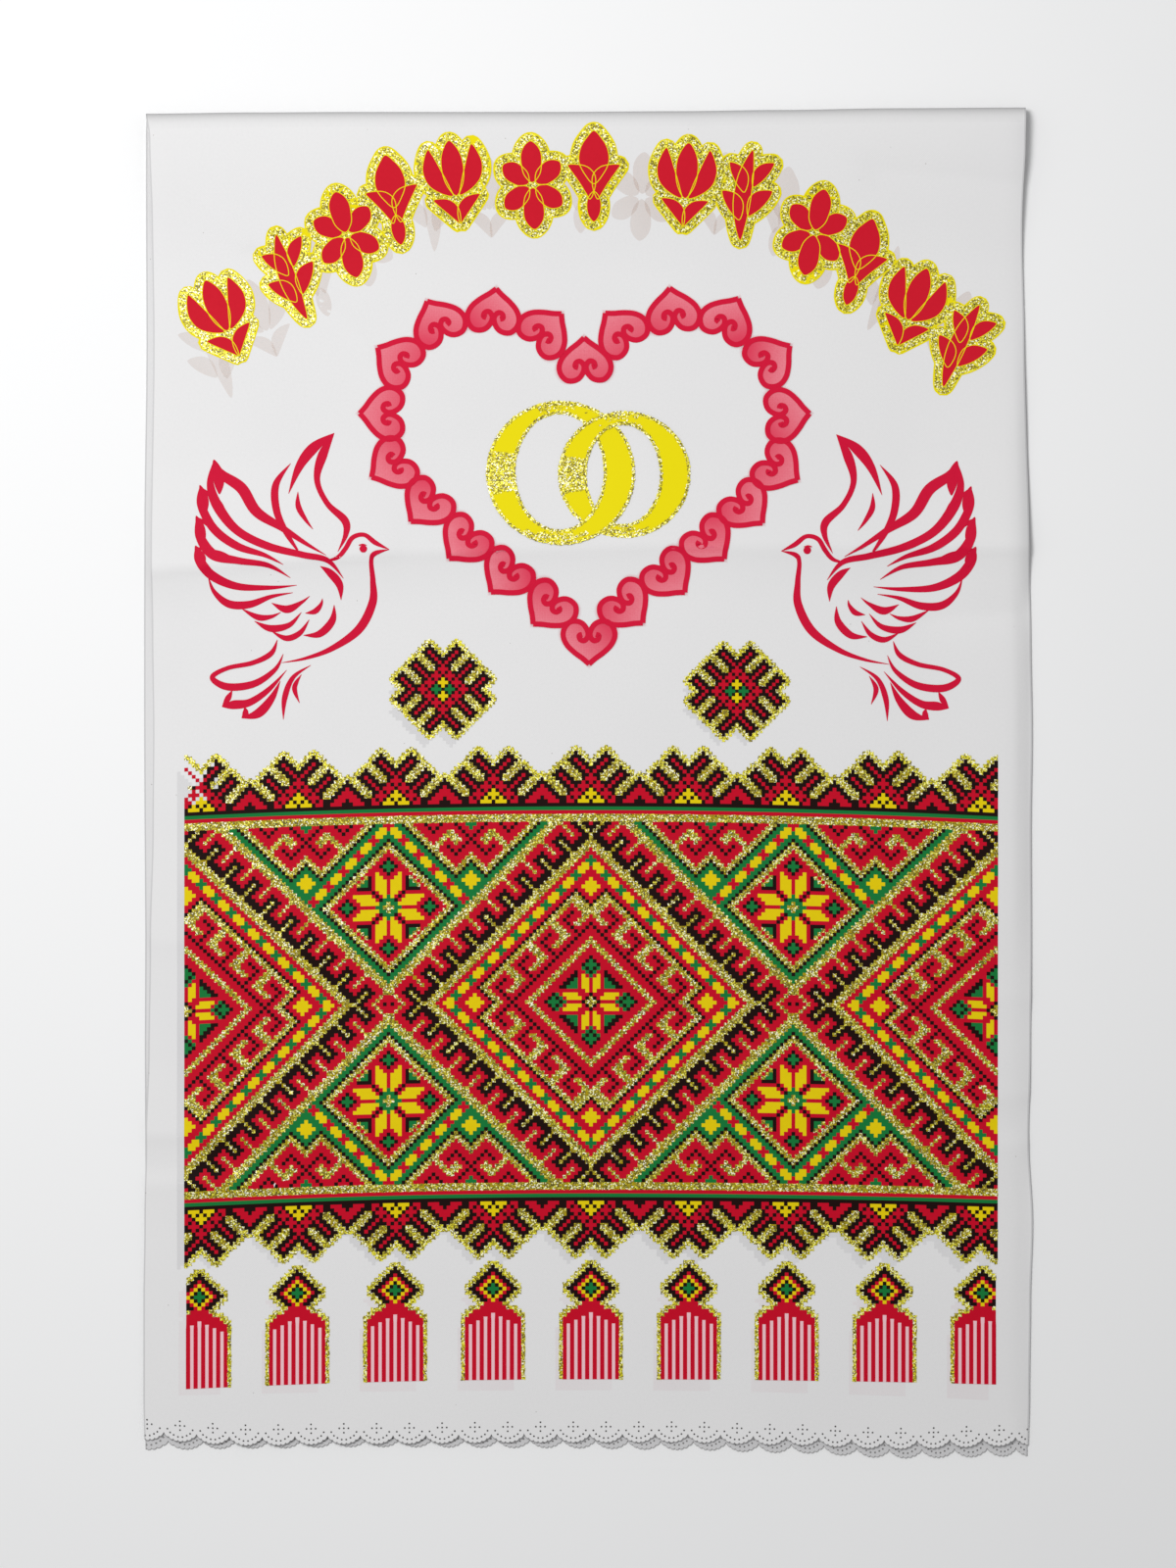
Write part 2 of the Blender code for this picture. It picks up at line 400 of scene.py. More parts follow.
def ink(name, colour, roughness=0.55, mottle=0.10):
    recipe = Recipe(name)
    height = twillHeight(recipe)
    grain = recipe.cloud(recipe.place(), 700.0)
    light = tuple(min(1.0, part * 1.22 + 0.002) for part in colour[:3]) + (1.0,)
    dark = tuple(part * 0.80 for part in colour[:3]) + (1.0,)
    shade = recipe.mix(mottle * 5 * (grain - 0.4), colour, light)
    # painted shade: the ink is darker in the hollows of the twill
    shade = recipe.mix((1 - height) * 0.35, shade, dark)
    return recipe.finish(Base_Color=shade, Roughness=roughness, Specular_IOR_Level=0.05,
                         Normal=recipe.raised(height, 0.4, twill["depth"]))


def heartInk():
    # pink dots over a ground that is palest where the tone is 0
    recipe = Recipe("heart halftone")
    tone = recipe.parts(recipe.layout("tone"))[0]
    dots = recipe.node("ShaderNodeTexVoronoi", {}, {0: recipe.place(), "Scale": 1500.0, "Randomness": 0.35})
    pale = recipe.mix(tone, display(238, 142, 154), display(222, 66, 92))
    shade = recipe.mix(0.42 * (1 - 1.5 * dots), pale, display(216, 60, 88))
    return recipe.finish(Base_Color=shade, Roughness=0.58, Specular_IOR_Level=0.05,
                         Normal=recipe.raised(twillHeight(recipe), 0.4, twill["depth"]))


def glitterInk(name="gold glitter", ground=(204, 192, 12), dull=1.0):
    # loose metal flakes, each tilted and tinted its own way, on a yellow ground; the palest tints are
    # painted glints and the darkest painted shade
    recipe = Recipe(name)
    flakes = recipe.node(
        "ShaderNodeTexVoronoi", {}, {0: recipe.place(), "Scale": 2200.0, "Randomness": 1.0}, "Color")
    pick, tilt, _ = recipe.parts(flakes, "ShaderNodeSeparateColor")
    # painted glints and painted shade per flake, picked at random
    shade = recipe.node("ShaderNodeValToRGB", {"stops": [
        (0.00, display(86 * dull, 74 * dull, 2)),
        (0.28, display(146 * dull, 132 * dull, 4)),
        (0.50, display(*ground)),
        (0.70, display(236 * dull, 226 * dull, 20)),
        (0.80, display(255, 250, 80)),
        (0.93, display(255, 255, 236)),
    ]}, [pick])
    return recipe.finish(Base_Color=shade, Roughness=0.30 + 0.25 * tilt, Metallic=0.25,
                         Normal=recipe.raised(tilt, 0.5, 0.00016))


inks = {
    "r": ink("red ink", display(198, 12, 40)),
    "g": ink("green ink", display(24, 120, 58)),
    "k": ink("black ink", display(30, 14, 12), 0.5),
    "y": ink("yellow ink", display(230, 204, 12)),
    "p": ink("pale pink ink", display(240, 196, 202)),
    "s": ink("gold ground", display(172, 150, 18)),
}
glitter = glitterInk()
deepGlitter = glitterInk("glitter on ink", (166, 146, 10), 0.84)   # thinner, with dark ink under it
clothFinish = twillCloth()
# painted shade along the scallops' cut rim and round the pinholes
rimShadeFinish = ink("hot-cut edge", display(158, 156, 156), 0.5)
print("finishes made")


printed = []


def makePiece(name, mesh, finishes):
    data = bpy.data.meshes.new(name)
    mesh.to_mesh(data)
    mesh.free()
    for finish in finishes:
        data.materials.append(finish)
    piece = bpy.data.objects.new(name, data)
    bpy.context.scene.collection.objects.link(piece)
    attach(piece, "root")
    return piece


def layPrint(name, mesh, finishes, lift):
    # takes a print drawn flat on the table and lays it on the front leaf
    layer = mesh.loops.layers.uv.new("flat")
    for face in mesh.faces:
        for loop in face.loops:
            loop[layer].uv = loop.vert.co.x, loop.vert.co.y
        face.normal_update()
        if face.normal.z < 0:
            face.normal_flip()
        face.smooth = True
    for vert in mesh.verts:
        vert.co = onFront(vert.co.x, vert.co.y, lift + vert.co.z)
    printed.append(makePiece(name, mesh, finishes))


# the cloth

scallop = {
    "count": 27, "phase": 0.60, "depth": 0.0030, "picots": 7, "picotDepth": 0.00052, "picotSteps": 6,
    "backShift": 0.0023, "shiftEase": 24,  # the back leaf's scallops lie a little to the right
    "singe": 0.00016,                      # width of the painted shade along the cut rim and round the pinholes
    "holeRadius": 0.00028, "holeSides": 7, "topSteps": 4,
    "holes": [  # sideways from the scallop's middle, above its lowest point
        (0.92, 2.0), (2.65, 2.7), (4.06, 3.6), (5.13, 5.1), (1.85, 6.6)],
    "middleHoles": [4.8, 6.6, 8.4],
}


def scallopTile(pitch):
    # one scallop with its picots and pinholes, drawn hanging below a straight top edge
    mesh = bmesh.new()
    radius = (pitch ** 2 / 4 + scallop["depth"] ** 2) / (2 * scallop["depth"])
    steps = scallop["picots"] * scallop["picotSteps"]
    rim = []
    for step in range(steps + 1):
        x = pitch * (step / steps - 0.5)
        y = radius - math.sqrt(radius ** 2 - x ** 2)
        lobe = abs(math.sin(math.pi * step / scallop["picotSteps"])) ** 0.6
        rim.append((x, y + scallop["picotDepth"] * (1 - lobe)))
    corner = rim[-1][1]
    sides = [corner + (cloth["strip"] - corner) * share for share in (0.5, 1.0)]
    rim += [(pitch / 2, y) for y in sides]
    rim += [(pitch * share, cloth["strip"]) for share in (0.25, 0.0, -0.25)]
    rim += [(-pitch / 2, y) for y in reversed(sides)]
    verts = [mesh.verts.new((x, y, 0)) for x, y in rim]
    for first, second in zip(verts, verts[1:] + verts[:1]):
        mesh.edges.new((first, second))
    spots = [(0.0, height) for height in scallop["middleHoles"]]
    spots += [(side * x, y) for x, y in scallop["holes"] for side in (1, -1)]
    for x, y in spots:
        bmesh.ops.create_circle(
            mesh, segments=scallop["holeSides"], radius=scallop["holeRadius"],
            matrix=Matrix.Translation((x / 1000, y / 1000, 0)))
    bmesh.ops.triangle_fill(mesh, use_beauty=True, edges=mesh.edges[:])
    # painted shade: a narrow darker ring along the rim and round each pinhole
    singe = scallop["singe"]
    shadedRing = bmesh.ops.inset_region(
        mesh, faces=mesh.faces[:], thickness=singe, use_boundary=True, use_even_offset=True)["faces"]
    for face in shadedRing:
        middle = face.calc_center_median()
        if abs(middle.x) < pitch / 2 - singe and middle.y < cloth["strip"] - singe:
            face.material_index = 1
    return mesh


def makeCloth():
    pitch = cloth["width"] / scallop["count"]
    rows = cloth["backRows"] + cloth["rollRows"] + cloth["frontRows"]
    mesh = bmesh.new()
    bmesh.ops.create_grid(mesh, x_segments=cloth["columns"] + 1, y_segments=rows, size=0.5)
    # Across is 0 to 1 and meets the tops of the scallops, and along is -1 to 1
    marks = [(0, -stripShare), (cloth["backRows"], -rollShare), (rows - cloth["frontRows"], rollShare),
             (rows, stripShare)]
    startShare = scallop["phase"] * scallop["topSteps"] % 1
    for vert in mesh.verts:
        row = (vert.co.y + 0.5) * rows
        for (rowA, alongA), (rowB, alongB) in zip(marks, marks[1:]):
            if row <= rowB + 0.01:
                along = alongA + (alongB - alongA) * (row - rowA) / (rowB - rowA)
                break
        column = round((vert.co.x + 0.5) * (cloth["columns"] + 1))
        across = (column - 1 + startShare) / cloth["columns"]
        vert.co = Vector((min(1.0, max(0.0, across)) if column <= cloth["columns"] else 1.0, along, 0))
    tile = scallopTile(pitch)
    tileData = bpy.data.meshes.new("scallop tile")
    tile.to_mesh(tileData)
    tile.free()
    for end in (1, -1):
        for number in range(-1, scallop["count"]):
            known = set(mesh.verts)
            mesh.from_mesh(tileData)
            for vert in [vert for vert in mesh.verts if vert not in known]:
                across = (number + scallop["phase"] + 0.5 + vert.co.x / pitch) / scallop["count"]
                vert.co = Vector((across, end * (1 - vert.co.y / leafLength), 0))
    bpy.data.meshes.remove(tileData)
    for side in (0, 1):
        bmesh.ops.bisect_plane(
            mesh, geom=mesh.verts[:] + mesh.edges[:] + mesh.faces[:], dist=1e-6,
            plane_co=(side, 0, 0), plane_no=(side * 2 - 1, 0, 0), clear_outer=True)
    bmesh.ops.remove_doubles(mesh, verts=mesh.verts, dist=1e-5)
    bmesh.ops.triangulate(mesh, faces=[face for face in mesh.faces if len(face.verts) > 4])
    layer = mesh.loops.layers.uv.new("flat")
    for face in mesh.faces:
        for loop in face.loops:
            loop[layer].uv = loop.vert.co.x * cloth["width"], -loop.vert.co.y * leafLength
    for vert in mesh.verts:
        vert.co = layCloth(vert.co.x, vert.co.y)
    bmesh.ops.recalc_face_normals(mesh, faces=mesh.faces)
    middle = [face for face in mesh.faces if face.calc_center_median().y < 0.2]
    if sum(face.normal.z for face in middle if face.calc_center_median().z > cloth["thickness"]) < 0:
        bmesh.ops.reverse_faces(mesh, faces=mesh.faces)
    for face in mesh.faces:
        face.smooth = True
    piece = makePiece("towelCloth", mesh, [clothFinish, rimShadeFinish])
    thick = piece.modifiers.new("thickness", "SOLIDIFY")
    thick.thickness, thick.offset = cloth["thickness"], 0.0
    graph = bpy.context.evaluated_depsgraph_get()
    piece.data = bpy.data.meshes.new_from_object(piece.evaluated_get(graph))
    piece.modifiers.clear()
    piece.data.set_sharp_from_angle(angle=math.radians(45))   # keeps the cut edges crisp
    return piece


towelCloth = makeCloth()
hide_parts("towel")
print("cloth laid")


# the cross-stitch chart:
# r, g, k, y and p are inks, s is glitter on its gold ground, and an empty string is bare cloth

band = {
    "centre": (0.0012, -0.0893), "cellX": 0.001530, "cellY": 0.001519,
    "halfWidth": 108,        # cells from the middle to each end
    "repeat": 108, "crownRepeat": 26,
    "bow": 0.0041, "bowReach": 0.166,
    "easeFrom": -0.02, "easeOver": 0.22, "easeShare": 0.5,   # the bow is slighter down the right side
    "outline": 1.25,         # reach of the glitter round the ink, in cells
    "lift": 0.00010,
    "flakeShift": 0.14,      # how far glitter strays, in cells
    "flakeRise": (0.00001, 0.00012),
    "bareGlitter": 0.12,     # share of the glitter that has come away from its ground
    "wornTo": -99,           # cells left of this one have lost some of their dark ink
}
tipChart = {12: "k", 11: "gk", 10: "ggk", 9: "gkg", 8: "kg", 7: "g"}  # far along an arm, then out from it


def heartOfDiamond(i, r):
    far, near = max(i, r), min(i, r)
    if i + r <= 2:
        return "k" if i + r == 2 else "s"
    if (near == 1 and 3 <= far <= 6) or (near == 2 and 4 <= far <= 7):
        return "y"
    if near >= 4 and i + r <= 12:
        return "g" if i + r <= 10 else "k"
    if near < len(tipChart.get(far, "")):
        return tipChart[far][near]
    if i + r in (16, 17):
        return "s"
    return "k" if i + r == 21 else "r"


def meander(a, d):
    # a is the distance out from the diamond's middle, and d runs along its side
    if abs(d) > 26:
        return "y" if abs(abs(d) - 31) <= 2 and abs(a - 31) <= 2 else "r"
    if a == 34 or (abs(d) == 26 and a >= 26):
        return "k"
    bar = (d + 24) % 12
    if a >= 24 and (a >= 32 or bar <= 2 or d == -25 or (a <= 25 and bar <= 7 and d < 24)):
        return "s"
    if a <= 29 and bar == 9 and abs(d) < 24:
        return "k"
    return "k" if a == 29 and bar in (5, 7) and d < 24 else "r"


def chain(position, other):
    return "y" if position % 8 in (0, 1, 2, 6, 7) else other


def comb(a, d):
    tooth = d % 10 - 5       # 0 along a dark tooth, -5 along a red one
    bead = a in (45, 47, 49, 51) if tooth == 0 else tooth == -5 and a in (50, 52, 54, 56)
    if bead:
        return "s"
    return "k" if a <= 47 or (a <= 53 and abs(tooth) <= 2) else "r"


def medallion(x, y):
    far, near = max(x, y), min(x, y)
    if x + y <= 3:
        return "g" if x + y > 1 else "s"
    if 1 <= near <= 3 and near + 2 <= far <= near + 6:
        return "y"
    if near == far and near in (2, 3, 4):
        return "k"
    if near == 5 and far <= 8:
        return "k"
    if near >= 6 and x + y <= 14:
        return "g" if x + y < 14 else "s"
    if near + abs(far - 11) <= 2:
        return "k" if near + abs(far - 11) == 2 else "g"
    if x + y in (16, 17):
        return "s"
    return "k" if x + y == 18 else "r"


def spandrel(x, r, t, v):
    # the triangle that stands on its point between two diamonds: t is the height above its sides
    if v == 5 or (t == 62 and v > 5):
        return "k"
    if v in (6, 7) or t in (63, 64):
        return "s"
    if (x + r in (51, 52) and t <= 73) or (71 <= t <= 73 and 47 <= x + r <= 52):
        return "s"
    if (x <= 4 and (t == 76 or x + r == 44)) or (t == 68 and 4 <= x <= 6) or abs(x - 10) == r - 46:
        return "k"
    return "g" if x + 48 - r <= 1 else "r"


def fieldInk(i, r):
    a, d = i + r, i - r
    if a <= 21:
        return heartOfDiamond(i, r)
    if a <= 34:
        return meander(a, d)
    if a in (35, 36, 40, 41):
        return "r"
    if a <= 39:
        return chain(d + 2, "g")
    if a <= 44:
        return "s"
    if a <= 56:
        return comb(a, d)
    if a <= 59:
        return "s"
    x, y = 54 - i, r - 26
    m = x + abs(y)
    if m <= 18:
        return medallion(x, abs(y))
    t, v = r - abs(i - 32) + 32, abs(i - 32) + abs(r - 33)
    if t >= 62 and v >= 5:
        return spandrel(abs(i - 32), r, t, v)
    if v <= 2:
        return "y"
    if 21 <= m <= 23 and y > 0 and x - y <= 19:
        return chain(x - y + 18, "r")
    return "g"


def pluses(x, y, places, colour):
    return colour if any(abs(x - px) + abs(y - py) <= 1 for px, py in places) else ""


def starInk(i, j, arms=(7, -1, -9), sidePlus="g"):
    x, y = abs(i), abs(j)
    s, d = x + y, y - x
    inner = (pluses(x, y, [(0, 2)], "y") or pluses(x, y, [(2, 0)], sidePlus)
             or pluses(x, y, [(0, 6), (2, 4), (4, 2), (6, 0)], "r"))
    if inner:
        return inner
    if d in arms and s <= 15 and s > 8:
        return "r"
    if s <= 17 and any(abs(d - arm) <= 2 for arm in arms) or s <= 8:
        return "k"
    return "s" if 9 <= s <= 16 and d in (2, 3, 4, -6, -5, -4) else ""


def crownInk(i, r):
    # the upper half of a star, repeated, with a small peak where two of them meet
    i = (i + 13) % band["crownRepeat"] - 13
    peak = r + 13 - abs(i)
    if peak <= 6:
        return "k" if peak <= 1 or peak >= 5 else "r"
    return starInk(i, r, (7, -1), "y") if abs(i) <= 12 else ""


def bandInk(i, j):
    r = abs(j)
    if abs(i) > band["halfWidth"]:
        return ""
    if r >= 54:
        return crownInk(i, r - 54)
    if r >= 49:
        return "ssrgk"[r - 49]
    i = abs(i) % band["repeat"]
    return fieldInk(min(i, band["repeat"] - i), r)


def wornInk(i, j):
    # the dark ink has come away from the band's upper left corner
    colour = bandInk(i, j)
    if colour in ("k", "s") and j > 55 and random.Random(i * 997 + j).random() < (band["wornTo"] - i) / 9:
        return ""
    return colour


def tasselInk(i, j):
    # a toothed tassel below a small diamond, whose middle is at 0, 0
    away, row, side = abs(i) + abs(j), -j, abs(i)
    roof = {3: 0, 4: 2, 5: 3, 6: 5, 7: 6}.get(row, 7 if row > 7 else -1)
    if away <= 3 or (away <= 6 and side > roof):
        return "ggkyrkk"[away]
    if row > 24 or side > roof:
        return ""
    return "p" if side % 2 == 0 and row >= 7 + side // 2 else "r"


def overlay(inkAt, i, j, reach):
    # true where bare cloth is close enough to ink to carry the glitter outline
    if inkAt(round(i), round(j)):
        return False
    around = [(math.cos(math.pi / 4 * turn), math.sin(math.pi / 4 * turn)) for turn in range(8)]
    return any(inkAt(round(i + reach * x), round(j + reach * y)) for x, y in around)


def bow(x, y):
    # rows of the print sag towards both sides
    side = (x / band["bowReach"]) ** 2
    if x > 0:
        side *= 1 - band["easeShare"] * softStep((band["easeFrom"] - y) / band["easeOver"])
    return -band["bow"] * side


def cellGrid(centre, cellX, cellY, columns, rowsUp, rowsDown, fine):
    # a grid of squares over the chart, with each square's chart position
    mesh = bmesh.new()
    across, up = columns * fine, (rowsUp + rowsDown + 1) * fine
    bmesh.ops.create_grid(mesh, x_segments=across, y_segments=up, size=0.5)
    scaleX, scaleY = cellX * columns, cellY * (rowsUp + rowsDown + 1)
    shift = (rowsUp - rowsDown) / 2 * cellY
    for vert in mesh.verts:
        vert.co = Vector((centre[0] + vert.co.x * scaleX, centre[1] + shift + vert.co.y * scaleY, 0))
    return mesh


def stitchPrint(name, chart, inkAt, columns, rowsUp, rowsDown, outline, bowed=True, nudge=None):
    centre, cellX, cellY = chart["centre"], chart["cellX"], chart["cellY"]
    order = list(inks)
    rough = random.Random(name)
    for fine, wanted in ((1, "inks"), (2, "glitter")):
        mesh = cellGrid(centre, cellX, cellY, columns, rowsUp, rowsDown, fine)
        bare = []
        for face in mesh.faces:
            middle = face.calc_center_median()
            i, j = (middle.x - centre[0]) / cellX, (middle.y - centre[1]) / cellY
            colour = inkAt(round(i), round(j))
            if wanted == "inks" and colour in order:
                face.material_index = order.index(colour)
            elif wanted == "glitter" and colour == "s" and rough.random() > band["bareGlitter"]:
                face.material_index = 1
            elif wanted == "glitter" and not colour and outline(i, j):
                continue
            else:
                bare.append(face)
        bmesh.ops.delete(mesh, geom=bare, context="FACES")
        if wanted == "inks" and nudge:
            for vert in mesh.verts:
                vert.co.x += cellX * nudge((vert.co.x - centre[0]) / cellX, (vert.co.y - centre[1]) / cellY)
        if wanted == "glitter":
            for vert in mesh.verts:
                vert.co.x += rough.uniform(-1, 1) * cellX * band["flakeShift"]
                vert.co.y += rough.uniform(-1, 1) * cellY * band["flakeShift"]
                vert.co.z += rough.uniform(*band["flakeRise"])
        if bowed:
            for vert in mesh.verts:
                vert.co.y += bow(vert.co.x, vert.co.y)
        if mesh.faces:
            finishes = [inks[key] for key in order] if wanted == "inks" else [glitter, deepGlitter]
            layPrint(name + wanted.capitalize(), mesh, finishes, chart["lift"])
        else:
            mesh.free()


def bandOutline(i, j):
    return abs(j) > 54 and abs(i) <= band["halfWidth"] + 0.5 and overlay(bandInk, i, j, band["outline"])


stitchPrint("band", band, wornInk, 2 * band["halfWidth"] + 1, 70, 70, bandOutline)
print("band printed")

star = {"places": {"leftStar": (-0.0592, 0.0383), "rightStar": (0.0608, 0.0375)},
        "cell": 0.001372, "lift": 0.00010, "outline": 1.3}


def starOutline(i, j):
    return overlay(starInk, i, j, star["outline"])


for name, centre in star["places"].items():
    chart = {"centre": centre, "cellX": star["cell"], "cellY": star["cell"], "lift": star["lift"]}
    stitchPrint(name, chart, starInk, 35, 17, 17, starOutline, bowed=False)
print("stars printed")

tassel = {"centre": (0.0012, -0.2062), "cellX": 0.001537, "cellY": 0.00152, "lift": 0.00010,
          "outline": 1.15, "nudge": 0.07}


def tasselRow(i, j):
    return tasselInk((i + 13) % band["crownRepeat"] - 13, j) if abs(i) <= 107.5 else ""


def tasselOutline(i, j):
    return j > -24.4 and abs(i) < 107.6 and overlay(tasselRow, i, j, tassel["outline"])


def toothNudge(i, j):
    # widens the red teeth at the cost of the pale gaps between them
    left = (math.floor(i) + 13) % band["crownRepeat"] - 13
    if j > -7.6 or not -7 <= left <= 6:
        return 0.0
    return -tassel["nudge"] if left % 2 == 0 else tassel["nudge"]


stitchPrint(
    "tassels", tassel, tasselRow, 2 * band["halfWidth"] + 1, 10, 25, tasselOutline, nudge=toothNudge)
print("tassels printed")


# figures drawn with a brush

def followCurve(points, share, closed=False):
    # a smooth curve through points, each of any number of values
    count = len(points)
    spans = count if closed else count - 1
    spot = min(share * spans, spans - 1e-6)
    first = int(spot)
    t = spot - first
    if closed:
        around = [points[(first + step) % count] for step in (-1, 0, 1, 2)]
    else:
        around = [points[min(count - 1, max(0, first + step))] for step in (-1, 0, 1, 2)]
    return [
        0.5 * (2 * b + (c - a) * t + (2 * a - 5 * b + 4 * c - d) * t * t + (3 * b - a - 3 * c + d) * t ** 3)
        for a, b, c, d in zip(*around)
    ]


stroke = {"leastHalf": 0.05, "climb": 0.00003, "flakeRise": (0.00001, 0.0001)}


class Easel:
    # one flat drawing in millimetres, in its own place, turn, size and mirroring
    def __init__(self, name, rise=0.000010):
        self.name = name
        self.mesh = bmesh.new()
        self.tone = self.mesh.loops.layers.uv.new("tone")
        self.rough = random.Random(name)
        self.level, self.rise = 0, rise     # strokes that cross lie at slightly different heights
        self.stand((0, 0))

    def stand(self, middle, turn=0.0, size=1.0, mirror=1):
        self.middle, self.turn, self.size, self.mirror = middle, math.radians(turn), size, mirror

    def put(self, x, y):
        x, y = x * self.size * self.mirror, y * self.size
        across, up = math.cos(self.turn), math.sin(self.turn)
        return Vector(((self.middle[0] + x * across - y * up) / 1000,
                       (self.middle[1] + x * up + y * across) / 1000, 0))

    def patch(self, along, across, place, finish=0, tone=None):
        # a grid whose corners are moved to place(u, v), with u and v from 0 to 1
        known = len(self.mesh.faces)
        made = bmesh.ops.create_grid(self.mesh, x_segments=along, y_segments=across, size=0.5)["verts"]
        spots = {vert: (vert.co.x + 0.5, vert.co.y + 0.5) for vert in made}
        self.level = (self.level + 1) % 12
        for vert, (u, v) in spots.items():
            vert.co = place(u, v)
            vert.co.z += self.level * self.rise
        self.mesh.faces.ensure_lookup_table()
        for face in self.mesh.faces[known:]:
            face.material_index = finish
            if tone:
                for loop in face.loops:
                    loop[self.tone].uv = tone(*spots[loop.vert]), 0.0
        return made

    def brush(self, points, finish=0, closed=False, jitter=0.0, step=0.8, across=1, lift=None):
        # points are x, y and half the width of the stroke there
        reach = sum(math.dist(a[:2], b[:2]) for a, b in zip(points, points[1:]))
        steps = max(6, round(reach * self.size / step))

        def place(u, v):
            x, y, half = followCurve(points, u, closed)
            nextX, nextY = followCurve(points, min(1, u + 0.004), closed)[:2]
            lastX, lastY = followCurve(points, max(0, u - 0.004), closed)[:2]
            if closed and u > 0.995:
                nextX, nextY = followCurve(points, 0.004, closed)[:2]
            if closed and u < 0.005:
                lastX, lastY = followCurve(points, 0.996, closed)[:2]
            length = math.hypot(nextX - lastX, nextY - lastY) or 1
            half = max(half, stroke["leastHalf"]) + self.rough.uniform(-jitter, jitter)
            away = (v - 0.5) * 2 * half
            spot = self.put(x - (nextY - lastY) / length * away, y + (nextX - lastX) / length * away)
            spot.z = lift(u) if lift else u * stroke["climb"]    # so that a curl clears its own start
            if jitter:
                spot.z += self.rough.uniform(*stroke["flakeRise"])
            return spot

        return self.patch(steps, across, place, finish)

    def fill(self, rim, steps=36, rings=3, finish=0, middle=(0, 0), tone=None):
        # rim is a closed run of points seen whole from the middle
        def place(u, v):
            x, y = followCurve(rim, u, True)[:2]
            return self.put(middle[0] + (x - middle[0]) * v, middle[1] + (y - middle[1]) * v)

        return self.patch(steps, rings, place, finish, tone)

    def hang(self, finishes, lift):
        bmesh.ops.remove_doubles(self.mesh, verts=self.mesh.verts, dist=1e-7)
        bmesh.ops.recalc_face_normals(self.mesh, faces=self.mesh.faces)
        layPrint(self.name, self.mesh, finishes, lift)


figureRed = ink("figure red", display(208, 18, 56))
flowerRed = ink("flower red", display(206, 24, 44))
ringYellow = ink("ring yellow", display(240, 224, 10), 0.5, 0.03)
ringGlitter = glitterInk("ring glitter", (206, 190, 10))
heartPink = heartInk()
heartRed = ink("heart red", display(212, 22, 58))


def bleedInk():
    # dye that has crept into the cloth round a shape, fading outwards
    recipe = Recipe("pink bleed")
    tone = recipe.parts(recipe.layout("tone"))[0]
    return recipe.finish(Base_Color=display(226, 110, 130), Roughness=0.7, Specular_IOR_Level=0.05,
                         Alpha=2.0 * (1 - tone))


pinkBleed = bleedInk()


def leaf(start, end, half, bend=0.0, blunt=0.5):
    # a closed rim from start round to end and back, as (x, y)
    alongX, alongY = end[0] - start[0], end[1] - start[1]
    rim = []
    wides = [(.18, .55 + .2 * blunt), (.42, 1), (.68, .82 + .2 * blunt), (.88, .36 + .3 * blunt)]
    there, andBack = [(*spot, 1) for spot in wides], [(*spot, -1) for spot in reversed(wides)]
    for share, wide, side in [(0, 0, 0), *there, (1, 0, 0), *andBack]:
        curve = bend * 4 * share * (1 - share)
        away = side * wide * half + curve
        length = math.hypot(alongX, alongY)
        rim.append((start[0] + alongX * share - alongY / length * away,
                    start[1] + alongY * share + alongX / length * away))
    return rim


def middleOf(rim):
    return sum(x for x, y in rim) / len(rim), sum(y for x, y in rim) / len(rim)


# doves

